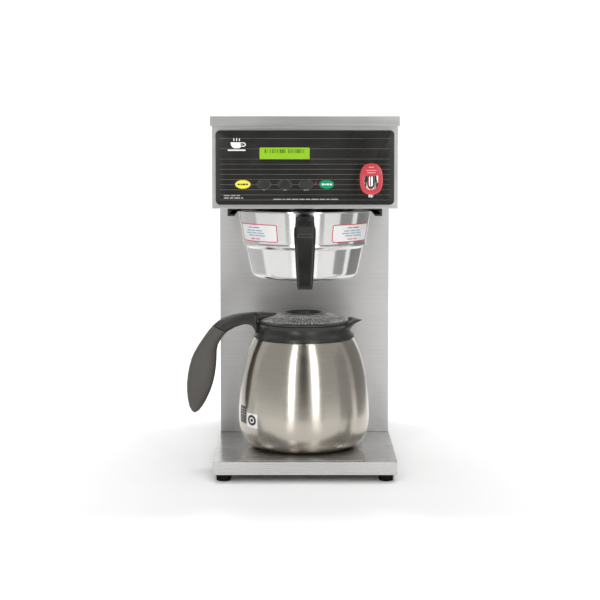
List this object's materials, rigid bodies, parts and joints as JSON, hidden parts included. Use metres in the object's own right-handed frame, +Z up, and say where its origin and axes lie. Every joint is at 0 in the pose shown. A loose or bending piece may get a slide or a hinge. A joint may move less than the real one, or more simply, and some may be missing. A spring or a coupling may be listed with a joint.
{
  "type": "commercial coffee brewer",
  "caption": "Counter coffee brewer: stainless C-shaped body, sliding brew cone under the head, hot water faucet lever, keypad and steel carafe on the deck.",
  "frame": {"origin": "centre of the bounding box footprint, on the surface that the feet stand on", "axes": "+Z up, -Y out of the front (control panel), +X to the right when facing the front"},
  "size_m": [0.2706, 0.491, 0.4563],
  "materials": {
    "brushed_steel": "vertical brushed stainless sheet",
    "polished_steel": "polished spun stainless",
    "carafe_steel": "satin stainless with a warm tint",
    "chrome": "bright plate",
    "brass": "machined brass",
    "copper": "drawn copper tube and sheath",
    "black_plastic": "moulded, semi-gloss",
    "panel_film": "screen-printed panel film with fine grey lines",
    "grip_rubber": "soft-touch grey grip",
    "foot_rubber": "moulded rubber",
    "red_plastic": "glossy red moulding",
    "yellow_key": "printed key cap",
    "black_key": "printed key cap",
    "green_key": "printed key cap",
    "display": "lit liquid-crystal window",
    "silicone": "moulded silicone",
    "circuit_board": "solder-masked board",
    "black_enamel": "black coated steel"
  },
  "bodies": {
    "brewer": {"base_pan": "brushed_steel", "server_plate": "brushed_steel", "left_side_panel": "brushed_steel", "right_side_panel": "brushed_steel", "column_front_panel": "brushed_steel", "back_panel": "brushed_steel", "head_front_panel": "brushed_steel", "head_underside_panel": "brushed_steel", "top_cover": "brushed_steel", "water_tank": "brushed_steel", "tank_lid": "brushed_steel", "faucet_body": "chrome", "faucet_lever_pin": "chrome", "temperature_probe": "chrome", "level_probe": "chrome", "back_screw_1": "chrome", "back_screw_2": "chrome", "back_screw_3": "chrome", "back_screw_4": "chrome", "faucet_nut": "brass", "dump_valve_body": "brass", "inlet_valve": "brass", "inlet_fitting": "brass", "heating_element": "copper", "inlet_tube": "copper", "dump_valve_coil": "black_plastic", "limit_thermostat": "black_plastic", "cord_gland": "black_plastic", "control_overlay": "panel_film", "foot_front_left": "foot_rubber", "foot_front_right": "foot_rubber", "foot_rear_left": "foot_rubber", "foot_rear_right": "foot_rubber", "display_window": "display", "tank_gasket": "silicone", "spray_tube": "silicone", "faucet_tube": "silicone", "spray_head": "silicone", "control_board": "circuit_board", "display_module": "circuit_board", "rail_left": "black_enamel", "rail_right": "black_enamel"},
    "power_key": {"power_key": "yellow_key"},
    "batch_key_small": {"batch_key_small": "black_key"},
    "batch_key_medium": {"batch_key_medium": "black_key"},
    "batch_key_large": {"batch_key_large": "black_key"},
    "brew_key": {"brew_key": "green_key"},
    "faucet_lever": {"faucet_lever": "red_plastic"},
    "valve_plunger": {"dump_valve_plunger": "chrome"},
    "brew_cone": {"cone_shell": "polished_steel", "cone_handle": "black_plastic", "filter_basket": "polished_steel"},
    "carafe": {"carafe_vessel": "carafe_steel", "carafe_collar": "black_plastic", "carafe_handle_arm": "black_plastic", "carafe_grip": "grip_rubber", "carafe_base_pad": "foot_rubber"},
    "carafe_lid": {"lid_body": "black_plastic", "lid_grate": "black_plastic", "lid_gasket": "silicone"}
  },
  "joints": [
    {"name": "power_key_press", "type": "slide", "parent": "brewer", "child": "power_key", "axis": [0, 1, 0], "range_m": [0, 0.0008], "stiffness_N_per_m": 900},
    {"name": "batch_key_small_press", "type": "slide", "parent": "brewer", "child": "batch_key_small", "axis": [0, 1, 0], "range_m": [0, 0.0008], "stiffness_N_per_m": 900},
    {"name": "batch_key_medium_press", "type": "slide", "parent": "brewer", "child": "batch_key_medium", "axis": [0, 1, 0], "range_m": [0, 0.0008], "stiffness_N_per_m": 900},
    {"name": "batch_key_large_press", "type": "slide", "parent": "brewer", "child": "batch_key_large", "axis": [0, 1, 0], "range_m": [0, 0.0008], "stiffness_N_per_m": 900},
    {"name": "brew_key_press", "type": "slide", "parent": "brewer", "child": "brew_key", "axis": [0, 1, 0], "range_m": [0, 0.0008], "stiffness_N_per_m": 900},
    {"name": "faucet_lever_pull", "type": "hinge", "parent": "brewer", "child": "faucet_lever", "pos_m": [0.0991, -0.21685, 0.393], "axis": [-1, 0, 0], "range_deg": [0, 25], "stiffness_Nm_per_rad": 0.3},
    {"name": "valve_plunger_lift", "type": "slide", "parent": "brewer", "child": "valve_plunger", "axis": [0, 0, 1], "range_m": [0, 0.003], "stiffness_N_per_m": 400},
    {"name": "brew_cone_slide", "type": "slide", "parent": "brewer", "child": "brew_cone", "axis": [0, -1, 0], "range_m": [0, 0.2]},
    {"name": "carafe_slide", "type": "slide", "parent": "brewer", "child": "carafe", "axis": [0, -1, 0], "range_m": [0, 0.2]},
    {"name": "carafe_lid_lift", "type": "slide", "parent": "carafe", "child": "carafe_lid", "axis": [0, 0, 1], "range_m": [0, 0.03]}
  ]
}
